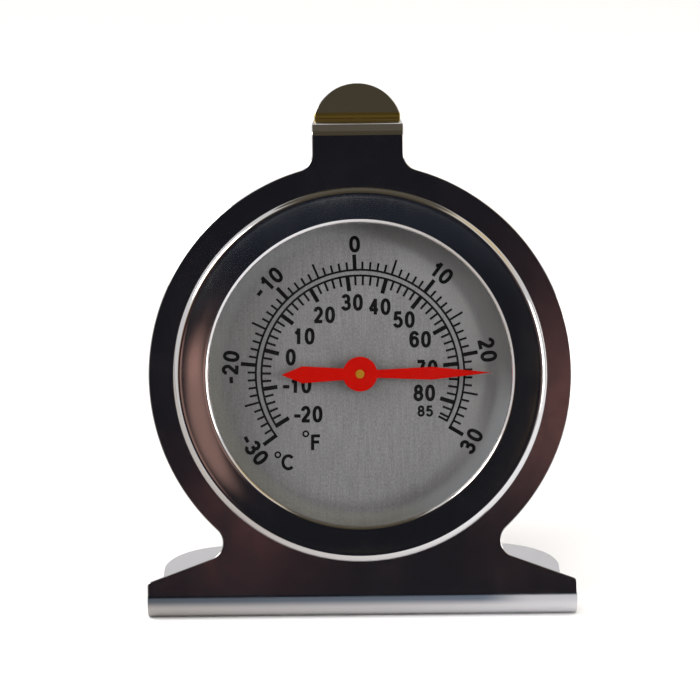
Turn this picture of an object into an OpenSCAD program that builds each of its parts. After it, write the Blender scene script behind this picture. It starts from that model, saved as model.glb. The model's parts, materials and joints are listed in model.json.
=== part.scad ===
// Dial thermometer with a bimetal movement, on a stand folded from one sheet.
// The origin is the centre of the foot's underside. +X is to the right, +Y is back
// and +Z is up, so the dial faces -Y and leans back.

/* [Stand] */
// Thickness of the stand's sheet
sheet_t = 0.5; // [0.4:0.05:0.7]
// How far the face leans back over a rise of 24
lean_run = 7; // [4:1:9]
// Radius of the plate's round face
disc_r = 29.55; // [28.8:0.05:30.5]
// Distance down the face from the dial's centre to the base's bottom line
face_drop = 33.7; // [33.2:0.1:35]
// Width of the base
base_w = 60; // [57:1:64]
// Height of the base's upright ends, with the fold
base_end_h = 4.85; // [4.2:0.05:5.5]
// Slope of the base's shoulders, in degrees
shoulder_slope = 20; // [16:1:24]
// Radius of the notches between the round face and the shoulders
notch_r = 2.4; // [2:0.1:2.8]
// Radius of the base's upper corners
base_corner_r = 0.7; // [0.4:0.1:1.2]

/* [Foot] */
// Outer radius of the fold between the face and the foot
foot_fold_r = 3; // [2:0.1:3.2]
// Length of the foot's flat, front to back
foot_len = 28; // [26:1:36]
// How much narrower the foot gets on each side
foot_taper = 1.4; // [0:0.1:3]
// Radius of the foot's rear corners
foot_corner_r = 10; // [5:0.5:13]

/* [Hang tab] */
// Width of the strap
strap_w = 12.8; // [10:0.2:15]
// Distance up the face from the dial's centre to the top of the strap's fold
strap_rise = 35.1; // [34.5:0.1:37]
// Radius of the fillets between the strap and the round face
strap_fillet_r = 2.45; // [1.5:0.05:3]
// Outer radius of the strap's backward fold
strap_fold_r = 2; // [1:0.1:2]
// Length of the shelf's flat
shelf_len = 9; // [6:0.5:12]
// Angle between the shelf and the face's normal, in degrees
shelf_slope = 8; // [4:1:14]
// Inner radius of the fold from shelf to tip
tip_fold_r = 0.8; // [0.5:0.1:1.2]
// Angle of the fold from shelf to tip, in degrees
tip_fold = 72; // [60:1:82]
// Height of the tip's flat above its fold
tip_h = 4.55; // [4:0.05:5.5]

/* [Bezel and case] */
// Outer radius of the bezel
bezel_r = 25.95; // [25.8:0.05:26.4]
// Radius of the opening in the bezel
window_r = 21; // [20:0.1:21.5]
// Thickness of the bezel's sheet
bezel_t = 0.42; // [0.35:0.01:0.45]
// Radius of the bezel's rolled outer edge
bezel_roll_r = 0.9; // [0.7:0.05:1.1]
// Radius of the bezel's inner lip
bezel_lip_r = 0.6; // [0.5:0.05:0.8]
// Outer radius of the case's front wall, which passes through the stand
case_r = 24.2; // [24:0.05:24.3]
// Outer radius of the case's rear wall
case_rear_r = 23; // [22.4:0.1:23.2]
// Thickness of the case's sheet
case_t = 0.4; // [0.3:0.05:0.45]
// Depth of the case behind the stand's front face
case_depth = 9.6; // [9.6:0.1:12]
// Thickness of the glass
glass_t = 1.7; // [1.5:0.1:1.8]
// Thickness of the dial plate
dial_t = 0.5; // [0.3:0.05:0.6]

/* [Pointer] */
// Length of the pointer from its centre to its tip
pointer_len = 18.5; // [15:0.5:19.5]
// Length of the pointer's tail
tail_len = 11; // [8:0.5:13]
// Width of the pointer at its widest
arm_w = 1.81; // [1.3:0.01:2.2]
// Width of the tail at its widest
tail_w = 2.37; // [1.8:0.01:3]
// Radius of the pointer's hub
hub_r = 2.43; // [2:0.05:3]
// Thickness of the pointer's sheet
pointer_t = 0.35; // [0.2:0.05:0.4]
// Angle of the pointer above the dial's right-hand side at rest, in degrees
pointer_angle = 0.1; // [-30:0.05:216]

/* [Movement] */
// Radius of the shaft
shaft_r = 0.6; // [0.5:0.05:0.7]
// Running clearance between the shaft and its bearings
running_gap = 0.03; // [0.02:0.01:0.06]
// Thickness of the bimetal strip
strip_t = 0.25; // [0.2:0.05:0.3]
// Width of the bimetal strip
strip_w = 2.6; // [2.2:0.1:2.7]
// Number of whole turns in the coil
coil_turns = 5; // [3:1:5]
// Radius of the coil's outer end, at the middle of the strip
coil_r = 9.4; // [8.6:0.1:9.6]

/* [Hidden] */

$fn = 96;
seat = 0.02;          // gap left between parts that rest on each other
cut = 1;              // how far a cutter runs past the surface that it opens

steel = [0.76, 0.76, 0.78];
dark_steel = [0.55, 0.56, 0.58];
brass = [0.80, 0.64, 0.30];

// Where the stand's parts lie. Distances along the face count from the dial's centre.
lean_rise = 24;
lean = atan2(lean_run, lean_rise);
fold_v = foot_fold_r - face_drop;
face_y = -foot_len / 2 - fold_v * sin(lean) - foot_fold_r * cos(lean);
face_z = foot_fold_r * (1 + sin(lean)) - fold_v * cos(lean);
strap_fold_v = strap_rise - strap_fold_r;
hole_gap = 0.2;       // room for the case's wall in the plate's hole
hole_r = case_r + hole_gap;

// Heights in the case, along its axis. The stand's front face is at 0, and the front is up.
crimp_z = 0.03;
crimp_in = case_r + 0.3;
flange_z = crimp_z + bezel_t + seat;
wall_gap = 0.1;       // room for round parts inside the bezel and the cup
flange_r = bezel_r - bezel_t - wall_gap;
glass_r = flange_r - 0.15;
gasket_z = flange_z + case_t + seat;
gasket_t = 0.4;
glass_z = gasket_z + gasket_t + seat;
lip_z = glass_z + glass_t + seat;
step_z = -2.9;
dial_z = step_z + case_t + seat;
dial_r = case_r - case_t - wall_gap;
gasket_in = window_r + 1.2;
spacer_in = window_r + 1.6;
floor_z = case_t - case_depth;
bead_r = 0.34;
roll_rise = 0.15;     // how much higher the roll's centre is than the lip's
crimp_bend = 0.05;    // inner radius of the bend at the crimp
cup_corner_r = 1.6;
arc_steps = 12;

// Heights in the movement
plate_t = 0.6;
base_z = floor_z + seat;
foot_z = base_z + plate_t + seat;
bar_z = -4.4;
bearing_r = 1.5;
bearing_flange_r = 2.2;
bearing_flange_t = 0.42;
washer_t = 0.2;
washer_r = 1.4;
rear_washer_z = foot_z + bearing_flange_t + seat;
nose_h = 0.5;         // how far the front bearing runs below the bar
front_washer_z = bar_z - nose_h - seat - washer_t;
collet_z = rear_washer_z + washer_t + seat;
collet_h = front_washer_z - seat - collet_z;
collet_r = 2;
bore_r = shaft_r + running_gap;
press_r = shaft_r + 0.01;
coil_z = collet_z + (collet_h - strip_w) / 2;
pointer_rise = 1.2;
arm_root_w = 1.12;
arm_wide_at = 0.54;   // as a share of the arm's length
tail_root_w = 1.67;
tail_wide_at = 0.735; // as a share of the tail's length
pointer_z = dial_z + dial_t + pointer_rise;
bush_r = 1.2;
bush_h = 0.88;

base_disc_r = 11.5;
rivet_x = 14.5;
rivet_r = 1;
leg_x = 12.3;
ear_end = 17.3;
post_r = 1.1;
post_half = 0.75;     // from the post's flat to its middle
post_v = coil_r + strip_t / 2 + seat + post_half;
coil_rivet_r = 0.45;
coil_head_r = 0.7;
coil_head_t = 0.25;
coil_head_gap = 0.1;  // the strip curves down at the sides of the rivet's inner head
coil_rivet_z = coil_z + strip_w / 2;

// Puts a shape drawn on the dial's axis into place on the leaning face.
module on_face() {
    translate([0, face_y, face_z]) rotate([90 - lean, 0, 0]) children();
}

// A ring drawn from the radius r0 to r1, and from the height z0 to z1.
module ring(r0, r1, z0, z1) {
    translate([0, 0, z0]) difference() {
        cylinder(r = r1, h = z1 - z0);
        translate([0, 0, -cut]) cylinder(r = r0, h = z1 - z0 + 2 * cut);
    }
}

// A folded length of sheet. Its axis is X, and it runs between two angles from +Y towards +Z.
module fold(outer_r, width, start, end) {
    reach = 2 * outer_r;
    intersection() {
        rotate([0, 90, 0]) difference() {
            cylinder(r = outer_r, h = width, center = true);
            cylinder(r = outer_r - sheet_t, h = width + 2 * cut, center = true);
        }
        rotate([start, 0, 0]) translate([-width, -reach, 0]) cube([2 * width, 2 * reach, reach]);
        rotate([end, 0, 0]) translate([-width, -reach, -reach])
            cube([2 * width, 2 * reach, reach]);
    }
}

// ---- Stand ----

// A fillet patch on one side of the strap, where it meets the round face.
module strap_fillet() {
    lap = 1;
    x = strap_w / 2 + strap_fillet_r;
    reach = disc_r + strap_fillet_r;
    y = sqrt(reach * reach - x * x);
    difference() {
        polygon([
            [strap_w / 2 - lap, y], [x, y], [x, y] * disc_r / reach,
            [strap_w / 2 - lap, y - strap_fillet_r - lap]
        ]);
        translate([x, y]) circle(r = strap_fillet_r);
    }
}

// The right half of the base, with its shoulder, its corner and its notch.
module base_half() {
    half = base_w / 2;
    across = [sin(shoulder_slope), cos(shoulder_slope)];
    along = [cos(shoulder_slope), -sin(shoulder_slope)];
    top = base_end_h - face_drop;
    // The shoulder's line is at the distance line_d from the dial's centre.
    line_d = across * [half, top];
    reach = disc_r + notch_r;
    rise = line_d + notch_r;
    notch = across * rise + along * sqrt(reach * reach - rise * rise);
    corner_d = line_d - base_corner_r;
    corner_x = half - base_corner_r;
    corner = [corner_x, (corner_d - across[0] * corner_x) / across[1]];
    difference() {
        polygon([
            [0, fold_v], [half, fold_v], [half, corner[1]], corner,
            corner + across * base_corner_r, notch - across * notch_r, notch,
            notch * disc_r / reach, [0, 0]
        ]);
        translate(notch) circle(r = notch_r);
    }
    translate(corner) circle(r = base_corner_r);
}

module face_outline() {
    difference() {
        union() {
            circle(r = disc_r);
            translate([-strap_w / 2, 0]) square([strap_w, strap_fold_v]);
            for (side = [0, 1]) mirror([side, 0]) {
                strap_fillet();
                base_half();
            }
        }
        circle(r = hole_r);
    }
}

module foot_outline() {
    half = base_w / 2 - foot_taper;
    corner = [half - foot_corner_r, foot_len - foot_corner_r];
    for (side = [0, 1]) mirror([side, 0]) {
        polygon([
            [0, 0], [base_w / 2, 0], [half, foot_len / 2], [half, corner[1]],
            [corner[0], foot_len], [0, foot_len]
        ]);
        translate(corner) circle(r = foot_corner_r);
    }
}

// The foot and its fold, with the fold's axis on X: a section cut to the foot's plan.
module foot_and_fold() {
    reach = 2 * foot_fold_r;
    intersection() {
        rotate([90, 0, 90]) translate([0, 0, -base_w / 2]) linear_extrude(base_w) {
            intersection() {
                difference() {
                    circle(r = foot_fold_r);
                    circle(r = foot_fold_r - sheet_t);
                }
                translate([-reach, -reach]) square([reach, 2 * reach]);
                rotate(90 - lean) translate([-reach, -reach]) square([reach, 2 * reach]);
            }
            translate([0, -foot_fold_r]) square([foot_len, sheet_t]);
        }
        translate([0, 0, -reach]) linear_extrude(2 * reach) {
            translate([-base_w, -reach]) square([2 * base_w, reach]);
            foot_outline();
        }
    }
}

// The shelf, its fold up and the round tip, from the end of the strap's backward fold.
module shelf_and_tip() {
    tip_r = strap_w / 2;
    sunk = tip_r - tip_h;
    root_w = 2 * sqrt(tip_r * tip_r - sunk * sunk);
    rotate([shelf_slope, 0, 0]) {
        translate([0, strap_fold_r - sheet_t, 0]) rotate([-90, 0, 0]) linear_extrude(sheet_t)
            polygon([[-tip_r, 0], [tip_r, 0], [root_w / 2, shelf_len], [-root_w / 2, shelf_len]]);
        translate([0, strap_fold_r + tip_fold_r, -shelf_len]) {
            fold(tip_fold_r + sheet_t, root_w, 180, 180 + tip_fold);
            rotate([tip_fold - 90, 0, 0]) translate([0, 0, -tip_fold_r - sheet_t])
                linear_extrude(sheet_t) intersection() {
                    translate([0, -sunk]) circle(r = tip_r);
                    translate([-tip_r, 0]) square([2 * tip_r, tip_r]);
                }
        }
    }
}

module stand_plate() {
    color(steel) on_face() {
        translate([0, 0, -sheet_t]) linear_extrude(sheet_t) face_outline();
        translate([0, fold_v, -foot_fold_r]) rotate([lean - 90, 0, 0]) foot_and_fold();
        translate([0, strap_fold_v, -strap_fold_r]) {
            fold(strap_fold_r, strap_w, shelf_slope, 90);
            shelf_and_tip();
        }
    }
}

// ---- Case ----

// Points along an arc from the angle a0 to a1.
function arc(centre, r, a0, a1) =
    [for (i = [0:arc_steps]) let (a = a0 + (a1 - a0) * i / arc_steps) centre + r * [cos(a), sin(a)]];

// The bezel's sheet in section, from the inner lip over the rolled edge to the crimp. Its
// outer surface is at the depth 0, and its inner surface at the depth bezel_t.
function bezel_path(depth) =
    let (
        lip = [window_r + bezel_lip_r, lip_z],
        roll = [bezel_r - bezel_roll_r, lip_z + roll_rise],
        span = roll - lip,
        slope = atan2(span[1], span[0]) + asin((bezel_roll_r - bezel_lip_r) / norm(span)),
        crimp_r = bezel_t + crimp_bend,
        crimp = [bezel_r - crimp_r, crimp_z + crimp_r]
    )
    concat(
        arc(lip, bezel_lip_r - depth, 180, 90 + slope),
        arc(roll, bezel_roll_r - depth, 90 + slope, 0),
        arc(crimp, crimp_r - depth, 0, -90),
        [[crimp_in, crimp_z + depth]]
    );

module bezel_ring() {
    outer = bezel_path(0);
    inner = bezel_path(bezel_t);
    last = len(inner) - 1;
    color(steel) on_face() rotate_extrude()
        polygon(concat(outer, [for (i = [0:last]) inner[last - i]]));
}

module glass_lens() {
    color([0.85, 0.92, 0.95, 0.35]) on_face()
        translate([0, 0, glass_z]) cylinder(r = glass_r, h = glass_t);
}

module lens_gasket() {
    color([0.15, 0.15, 0.15]) on_face()
        ring(gasket_in, glass_r, gasket_z, gasket_z + gasket_t);
}

module spacer_ring() {
    color([0.7, 0.7, 0.7]) on_face()
        ring(spacer_in, dial_r, dial_z + dial_t + seat, gasket_z - seat);
}

module dial_plate() {
    color([0.62, 0.63, 0.64]) on_face()
        ring(bearing_r + 0.2, dial_r, dial_z, dial_z + dial_t);
}

// The cup's outer surface in section, drawn in from it by the distance g.
module cup_outline(g) {
    inset = case_rear_r - cup_corner_r;
    translate([0, step_z + g]) square([case_r - g, flange_z + case_t + cut - step_z]);
    translate([0, g - case_depth]) square([inset, case_depth]);
    translate([0, cup_corner_r - case_depth]) square([case_rear_r - g, case_depth - cup_corner_r]);
    translate([inset, cup_corner_r - case_depth]) circle(r = cup_corner_r - g);
}

module case_cup() {
    color(steel) on_face() difference() {
        rotate_extrude() difference() {
            union() {
                cup_outline(0);
                translate([0, flange_z]) square([flange_r, case_t]);
                translate([case_r, -sheet_t - seat - bead_r]) circle(r = bead_r);
            }
            cup_outline(case_t);
            translate([0, flange_z + case_t]) square([bezel_r, 2 * cut]);
            translate([-bezel_r, -bezel_r]) square([bezel_r, 2 * bezel_r]);
        }
        for (x = [-rivet_x, rivet_x])
            translate([x, 0, -case_depth - cut]) cylinder(r = rivet_r + seat, h = 2 * cut + case_t);
    }
}

// ---- Movement ----

module movement_base() {
    color(dark_steel) on_face() translate([0, 0, base_z]) linear_extrude(plate_t) difference() {
        union() {
            circle(r = base_disc_r);
            for (x = [-1, 1]) translate([x * rivet_x, 0]) circle(r = ear_end - rivet_x);
            translate([-rivet_x, rivet_x - ear_end])
                square([2 * rivet_x, 2 * (ear_end - rivet_x)]);
        }
        circle(r = bearing_r + seat / 2);
        for (x = [-rivet_x, rivet_x]) translate([x, 0]) circle(r = rivet_r + seat);
        translate([0, post_v]) circle(r = post_r / 2 + seat / 2);
    }
}

// Half of the bridge in section: foot, leg and bar, with a round bend at each corner.
module bridge_section() {
    bend = 1;
    inner = bend - plate_t;
    bar_top = bar_z + plate_t;
    translate([0, bar_z]) square([leg_x - bend, plate_t]);
    translate([leg_x - plate_t, foot_z + bend]) square([plate_t, bar_top - foot_z - 2 * bend]);
    translate([leg_x - plate_t + bend, foot_z]) square([ear_end - leg_x + plate_t - bend, plate_t]);
    intersection() {
        translate([leg_x - bend, bar_top - bend]) difference() {
            circle(r = bend);
            circle(r = inner);
        }
        translate([leg_x - bend, bar_top - bend]) square([bend, bend]);
    }
    intersection() {
        translate([leg_x - plate_t + bend, foot_z + bend]) difference() {
            circle(r = bend);
            circle(r = inner);
        }
        translate([leg_x - plate_t, foot_z]) square([bend, bend]);
    }
}

module movement_bridge() {
    half = ear_end - rivet_x;
    color(steel) on_face() difference() {
        rotate([90, 0, 0]) translate([0, 0, -half]) linear_extrude(2 * half) {
            bridge_section();
            mirror([1, 0]) bridge_section();
        }
        translate([0, 0, bar_z - cut]) cylinder(r = bearing_r + seat / 2, h = plate_t + 2 * cut);
        for (x = [-rivet_x, rivet_x])
            translate([x, 0, foot_z - cut]) cylinder(r = rivet_r + seat, h = plate_t + 2 * cut);
    }
}

// A rivet through the floor, the base and the bridge, with its dome behind the case.
module movement_rivets() {
    dome_r = 2;
    dome_h = 0.7;
    head_r = 1.7;
    head_h = 0.5;
    ball_r = (dome_r * dome_r + dome_h * dome_h) / (2 * dome_h);
    top = foot_z + plate_t;
    color(steel) on_face() for (x = [-rivet_x, rivet_x]) translate([x, 0, 0]) {
        translate([0, 0, -case_depth - seat]) {
            cylinder(r = rivet_r, h = top + case_depth + seat + head_h);
            intersection() {
                translate([0, 0, ball_r - dome_h]) sphere(r = ball_r);
                translate([0, 0, -dome_h]) cylinder(r = dome_r, h = dome_h);
            }
        }
        translate([0, 0, top + seat]) cylinder(r = head_r, h = head_h);
    }
}

// A flanged bush from the height z0 to z1, its flange on the plate's top face at flange_at.
module bearing(z0, z1, flange_at) {
    color(brass) on_face() difference() {
        union() {
            translate([0, 0, z0]) cylinder(r = bearing_r, h = z1 - z0);
            translate([0, 0, flange_at]) cylinder(r = bearing_flange_r, h = bearing_flange_t);
        }
        translate([0, 0, z0 - cut]) cylinder(r = bore_r, h = z1 - z0 + 2 * cut);
    }
}

module front_bearing() {
    bearing(bar_z - nose_h, bar_z + plate_t + seat + bearing_flange_t, bar_z + plate_t + seat);
}

module rear_bearing() {
    bearing(base_z, foot_z + bearing_flange_t, foot_z);
}

// A post with a flat for the strip's end, and a thin foot in the base.
module coil_post() {
    flat_v = coil_r + strip_t / 2 + seat;
    root_h = 0.4;         // height of the post's full round below the flat
    color(brass) on_face() difference() {
        translate([0, post_v, 0]) {
            translate([0, 0, base_z]) cylinder(r = post_r / 2, h = plate_t + 2 * seat);
            translate([0, 0, foot_z]) cylinder(r = post_r, h = coil_z + strip_w - foot_z);
        }
        translate([-post_r, flat_v - post_r, foot_z + root_h])
            cube([2 * post_r, post_r, strip_w + cut]);
        translate([0, post_v, coil_rivet_z]) rotate([90, 0, 0])
            cylinder(r = coil_rivet_r + seat, h = 4 * post_r, center = true);
    }
}

module coil_rivet() {
    start = coil_r - strip_t / 2 - coil_head_gap - coil_head_t;
    outer_v = post_v + post_r + seat;
    color(brass) on_face() translate([0, 0, coil_rivet_z]) rotate([-90, 0, 0]) {
        translate([0, 0, start]) cylinder(r = coil_head_r, h = coil_head_t);
        translate([0, 0, start]) cylinder(r = coil_rivet_r, h = outer_v + coil_head_t - start);
        translate([0, 0, outer_v]) cylinder(r = coil_head_r, h = coil_head_t);
    }
}

// A flat spiral strip. Its inner turn lies on the collet, and its outer end on the post.
module bimetal_coil() {
    inner_r = collet_r + seat + strip_t / 2;
    at_post = 360 * coil_turns + 90;
    last = at_post + 6;   // the strip ends just past the post
    step = 7.5;
    hug = 180;            // the first half turn lies on the collet
    function middle(a) = inner_r + (coil_r - inner_r) * max(0, a - hug) / (at_post - hug);
    function side(a, off) = (min(middle(a), coil_r) + off) * [cos(a), sin(a)];
    outer = [for (a = [0:step:last]) side(a, strip_t / 2)];
    inner = [for (a = [last:-step:0]) side(a, -strip_t / 2)];
    color([0.66, 0.60, 0.50]) on_face() difference() {
        translate([0, 0, coil_z]) linear_extrude(strip_w) polygon(concat(outer, inner));
        translate([0, coil_r, coil_rivet_z]) rotate([90, 0, 0])
            cylinder(r = coil_rivet_r + seat, h = 4 * strip_t, center = true);
    }
}

module coil_collet() {
    color(brass) on_face() ring(press_r, collet_r, collet_z, collet_z + collet_h);
}

module thrust_washers() {
    color(dark_steel) on_face() for (z = [rear_washer_z, front_washer_z])
        ring(press_r, washer_r, z, z + washer_t);
}

module pointer_shaft() {
    start = base_z + 0.05;
    stub = 0.12;          // how far the shaft stands out of the pointer
    color(brass) on_face()
        translate([0, 0, start]) cylinder(r = shaft_r, h = pointer_z + pointer_t + stub - start);
}

// ---- Pointer ----

module pointer_bush() {
    color(brass) on_face() ring(press_r, bush_r, pointer_z - seat - bush_h, pointer_z - seat);
}

// One arm of the pointer: root and widest widths, how far out it is widest, and its tip.
module pointer_arm(root_w, wide_w, wide_at, tip_at) {
    polygon([
        [0, -root_w / 2], [hub_r, -root_w / 2], [wide_at, -wide_w / 2],
        [tip_at, 0], [wide_at, wide_w / 2], [hub_r, root_w / 2], [0, root_w / 2]
    ]);
}

module pointer() {
    color([0.75, 0.08, 0.03]) on_face() translate([0, 0, pointer_z]) rotate(pointer_angle)
        linear_extrude(pointer_t) difference() {
            union() {
                circle(r = hub_r);
                pointer_arm(arm_root_w, arm_w, arm_wide_at * pointer_len, pointer_len);
                rotate(180) pointer_arm(tail_root_w, tail_w, tail_wide_at * tail_len, tail_len);
            }
            circle(r = press_r);
        }
}

stand_plate();
bezel_ring();
glass_lens();
lens_gasket();
spacer_ring();
dial_plate();
case_cup();
movement_base();
movement_bridge();
movement_rivets();
front_bearing();
rear_bearing();
coil_post();
coil_rivet();
bimetal_coil();
coil_collet();
thrust_washers();
pointer_shaft();
pointer_bush();
pointer();
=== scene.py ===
"""Looks of a dial thermometer on a folded stand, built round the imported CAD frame.

Lengths in the tables below are in millimetres and angles in degrees, both on the dial's
face: X to the right, Y up the leaning face and Z out of it, from the dial's centre.
"""
import json
import math

import bmesh
import bpy
from mathutils import Matrix, Vector
from mathutils.geometry import delaunay_2d_cdt


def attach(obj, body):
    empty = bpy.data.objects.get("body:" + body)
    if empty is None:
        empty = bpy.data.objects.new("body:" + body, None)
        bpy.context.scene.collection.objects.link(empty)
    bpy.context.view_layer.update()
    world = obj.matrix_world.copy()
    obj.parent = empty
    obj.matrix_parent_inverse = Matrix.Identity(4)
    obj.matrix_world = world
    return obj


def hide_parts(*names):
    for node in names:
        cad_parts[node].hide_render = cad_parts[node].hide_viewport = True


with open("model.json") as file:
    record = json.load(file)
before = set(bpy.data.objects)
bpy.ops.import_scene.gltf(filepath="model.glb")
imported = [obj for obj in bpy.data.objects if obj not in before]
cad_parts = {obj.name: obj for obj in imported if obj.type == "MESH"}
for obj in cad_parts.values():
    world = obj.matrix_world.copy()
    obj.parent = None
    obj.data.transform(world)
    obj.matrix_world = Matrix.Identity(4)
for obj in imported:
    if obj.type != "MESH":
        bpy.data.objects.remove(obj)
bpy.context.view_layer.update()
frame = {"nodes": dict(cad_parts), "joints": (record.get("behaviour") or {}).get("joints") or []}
nodes = frame["nodes"]
MM = 0.001

# ---------------------------------------------------------------- the dial's own frame

joint = frame["joints"][0]
centre = Vector(joint["pos_m"])
face_out = Vector(joint["axis"]).normalized()
face_right = Vector((1, 0, 0))
face_up = face_out.cross(face_right).normalized()
FACE = Matrix.Translation(centre) @ Matrix((face_right, face_up, face_out)).transposed().to_4x4()
TO_FACE = FACE.inverted()
LEAN = math.atan2(face_out.z, -face_out.y)


def on_face(x, y, z):
    """A point given in millimetres on the dial's frame, in metres in the row frame."""
    return FACE @ Vector((x * MM, y * MM, z * MM))


def span(node):
    """(least radius, greatest radius, lowest, highest) of a CAD node on the dial's frame, in mm."""
    points = [TO_FACE @ v.co / MM for v in nodes[node].data.vertices]
    radii = [math.hypot(p.x, p.y) for p in points]
    heights = [p.z for p in points]
    return min(radii), max(radii), min(heights), max(heights)


# ---------------------------------------------------------------- sizes, as in the CAD model

# The bezel: its sheet, the outer radii of its roll, lip and crimp, and where the crimp ends.
BEZEL_SHEET, BEZEL_ROLL_R, BEZEL_LIP_R, BEZEL_CRIMP_R, BEZEL_CRIMP_IN = 0.42, 0.90, 0.60, 0.47, 24.5
BEZEL_ROLL_RISE = 0.15     # how much higher the roll's centre is than the lip's
BEZEL_HOLLOW = 0.035       # how far the slope sags at its middle

# The stand. Distances run up the face from the dial's centre.
SHEET = 0.5
DISC_R, HOLE_R = 29.55, 24.4
BASE_HALF, BASE_TOP, SHOULDER = 30.0, -28.85, 20.0
NOTCH_R, BASE_CORNER_R = 2.4, 0.7
FOLD_V, FOLD_R = -30.7, 3.0
FOOT_LEN, FOOT_TAPER, FOOT_CORNER_R = 28.0, 1.4, 10.0
STRAP_HALF, FILLET_R = 6.4, 2.45
STRAP_V, STRAP_R, SHELF_SLOPE, SHELF_LEN = 33.1, 2.0, 8.0, 9.0
TIP_R, TIP_FOLD, TIP_H = 0.8, 72.0, 4.55

# The pointer. Each arm has its length, where it's widest, and its widths at root and widest.
POINTER_ANGLE = 0.1
POINTER_TOP = span("pointer")[3]
HUB_R, PRESS_R = 2.43, 0.61
NEEDLE = (18.5, 0.54, 1.12, 1.81)
TAIL = (11.0, 0.735, 1.67, 2.37)

# How finely curves are drawn, and the radii of the rounded edges of cut sheet.
BEND_STEP = 4.0            # degrees between the lines that a fold bends along
BEZEL_STEPS = 240
ROUND_STEPS = 3
STAND_EDGE_R, POINTER_EDGE_R = 0.14, 0.05


# ---------------------------------------------------------------- node helpers

class Tree:
    """A node tree with short calls for the nodes used below. Sockets and numbers mix freely."""

    def __init__(self, tree):
        self.tree = tree

    def add(self, kind, **props):
        n = self.tree.nodes.new("ShaderNode" + kind)
        for k, v in props.items():
            setattr(n, k, v)
        return n

    def put(self, socket, value):
        if isinstance(value, bpy.types.NodeSocket):
            self.tree.links.new(value, socket)
        elif isinstance(value, (tuple, list, Vector)) and len(socket.default_value) == 4:
            socket.default_value = (*value, 1.0)[:4]
        else:
            socket.default_value = value

    def math(self, op, a, b=0.0, c=0.0):
        n = self.add("Math", operation=op)
        for s, v in zip(n.inputs, (a, b, c)):
            self.put(s, v)
        return n.outputs[0]

    def vector(self, op, a, b=(0, 0, 0), scale=1.0):
        n = self.add("VectorMath", operation=op)
        self.put(n.inputs[0], a)
        self.put(n.inputs[1], b)
        self.put(n.inputs[3], scale)
        return n.outputs[1 if op in ("DOT_PRODUCT", "LENGTH") else 0]

    def xyz(self, x, y, z):
        n = self.add("CombineXYZ")
        for s, v in zip(n.inputs, (x, y, z)):
            self.put(s, v)
        return n.outputs[0]

    def split(self, v):
        n = self.add("SeparateXYZ")
        self.put(n.inputs[0], v)
        return n.outputs

    def remap(self, value, lo, hi, out_lo=0.0, out_hi=1.0, smooth=True):
        n = self.add("MapRange", interpolation_type="SMOOTHSTEP" if smooth else "LINEAR")
        for s, v in zip(n.inputs, (value, lo, hi, out_lo, out_hi)):
            self.put(s, v)
        return n.outputs[0]

    def mix(self, fac, a, b):
        n = self.add("Mix", data_type="RGBA")
        self.put(n.inputs[0], fac)
        self.put(n.inputs[6], a)
        self.put(n.inputs[7], b)
        return n.outputs[2]

    def noise(self, vector, scale, detail=2.0, rough=0.5, distort=0.0, colour=False):
        n = self.add("TexNoise")
        self.put(n.inputs["Vector"], vector)
        for k, v in (("Scale", scale), ("Detail", detail), ("Roughness", rough), ("Distortion", distort)):
            self.put(n.inputs[k], v)
        return n.outputs["Color" if colour else 0]

    def cells(self, vector, scale, feature="F1"):
        n = self.add("TexVoronoi", feature=feature)
        self.put(n.inputs["Vector"], vector)
        self.put(n.inputs["Scale"], scale)
        return n.outputs

    def bump(self, height, distance, normal=None):
        n = self.add("Bump")
        self.put(n.inputs["Height"], height)
        self.put(n.inputs["Distance"], distance)
        if normal is not None:
            self.put(n.inputs["Normal"], normal)
        return n.outputs[0]

    def face_point(self):
        """The shaded point on the dial's frame, in millimetres."""
        at = self.vector("SUBTRACT", self.add("TexCoord").outputs["Object"], tuple(centre))
        parts = [self.vector("DOT_PRODUCT", at, tuple(d)) for d in (face_right, face_up, face_out)]
        return self.vector("SCALE", self.xyz(*parts), scale=1 / MM)

    def object_point(self):
        return self.vector("SCALE", self.add("TexCoord").outputs["Object"], scale=1 / MM)


def material(name):
    """A new material, its node helper and its Principled shader."""
    mat = bpy.data.materials.new(name)
    mat.use_nodes = True
    t = Tree(mat.node_tree)
    shader = mat.node_tree.nodes["Principled BSDF"]
    return mat, t, shader


def scratches(t, at, size, angle, keep):
    """Thin, broken lines at one angle: 1 on a scratch and 0 elsewhere. size is their spacing."""
    turn = t.add("VectorRotate", rotation_type="Z_AXIS")
    t.put(turn.inputs["Vector"], at)
    t.put(turn.inputs["Angle"], math.radians(angle))
    bent = t.vector("ADD", turn.outputs[0], t.vector("SCALE", t.noise(at, 0.12, colour=True), scale=1.6))
    long = t.vector("MULTIPLY", bent, (1 / size, 0.055 / size, 1 / size))
    line = t.remap(t.cells(long, 1.0, "DISTANCE_TO_EDGE")[0], 0.0, 0.004, 1.0, 0.0)
    broken = t.remap(t.noise(at, 0.22, 3), keep, keep + 0.06)
    return t.math("MULTIPLY", line, broken)


def dust(t, at, spacing, share):
    """Small specks in a share of the cells: 1 on a speck and 0 elsewhere."""
    largest = 0.045        # as a share of the spacing
    cell = t.cells(at, 1 / spacing)
    chosen = t.math("GREATER_THAN", t.split(cell["Color"])[0], 1 - share)
    radius = t.math("MULTIPLY", t.split(cell["Color"])[1], largest)
    return t.math("MULTIPLY", chosen, t.math("LESS_THAN", cell["Distance"], radius))


def edge_mask(t, radius):
    """0 on open surfaces and up to 1 near an edge, from how far a rounded normal turns away."""
    rounded = t.add("Bevel", samples=4)
    t.put(rounded.inputs["Radius"], radius)
    geometry = t.add("NewGeometry")
    dot = t.vector("DOT_PRODUCT", rounded.outputs[0], geometry.outputs["Normal"])
    return t.remap(dot, 0.999, 0.8, 0.0, 1.0)


# ---------------------------------------------------------------- materials

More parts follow.
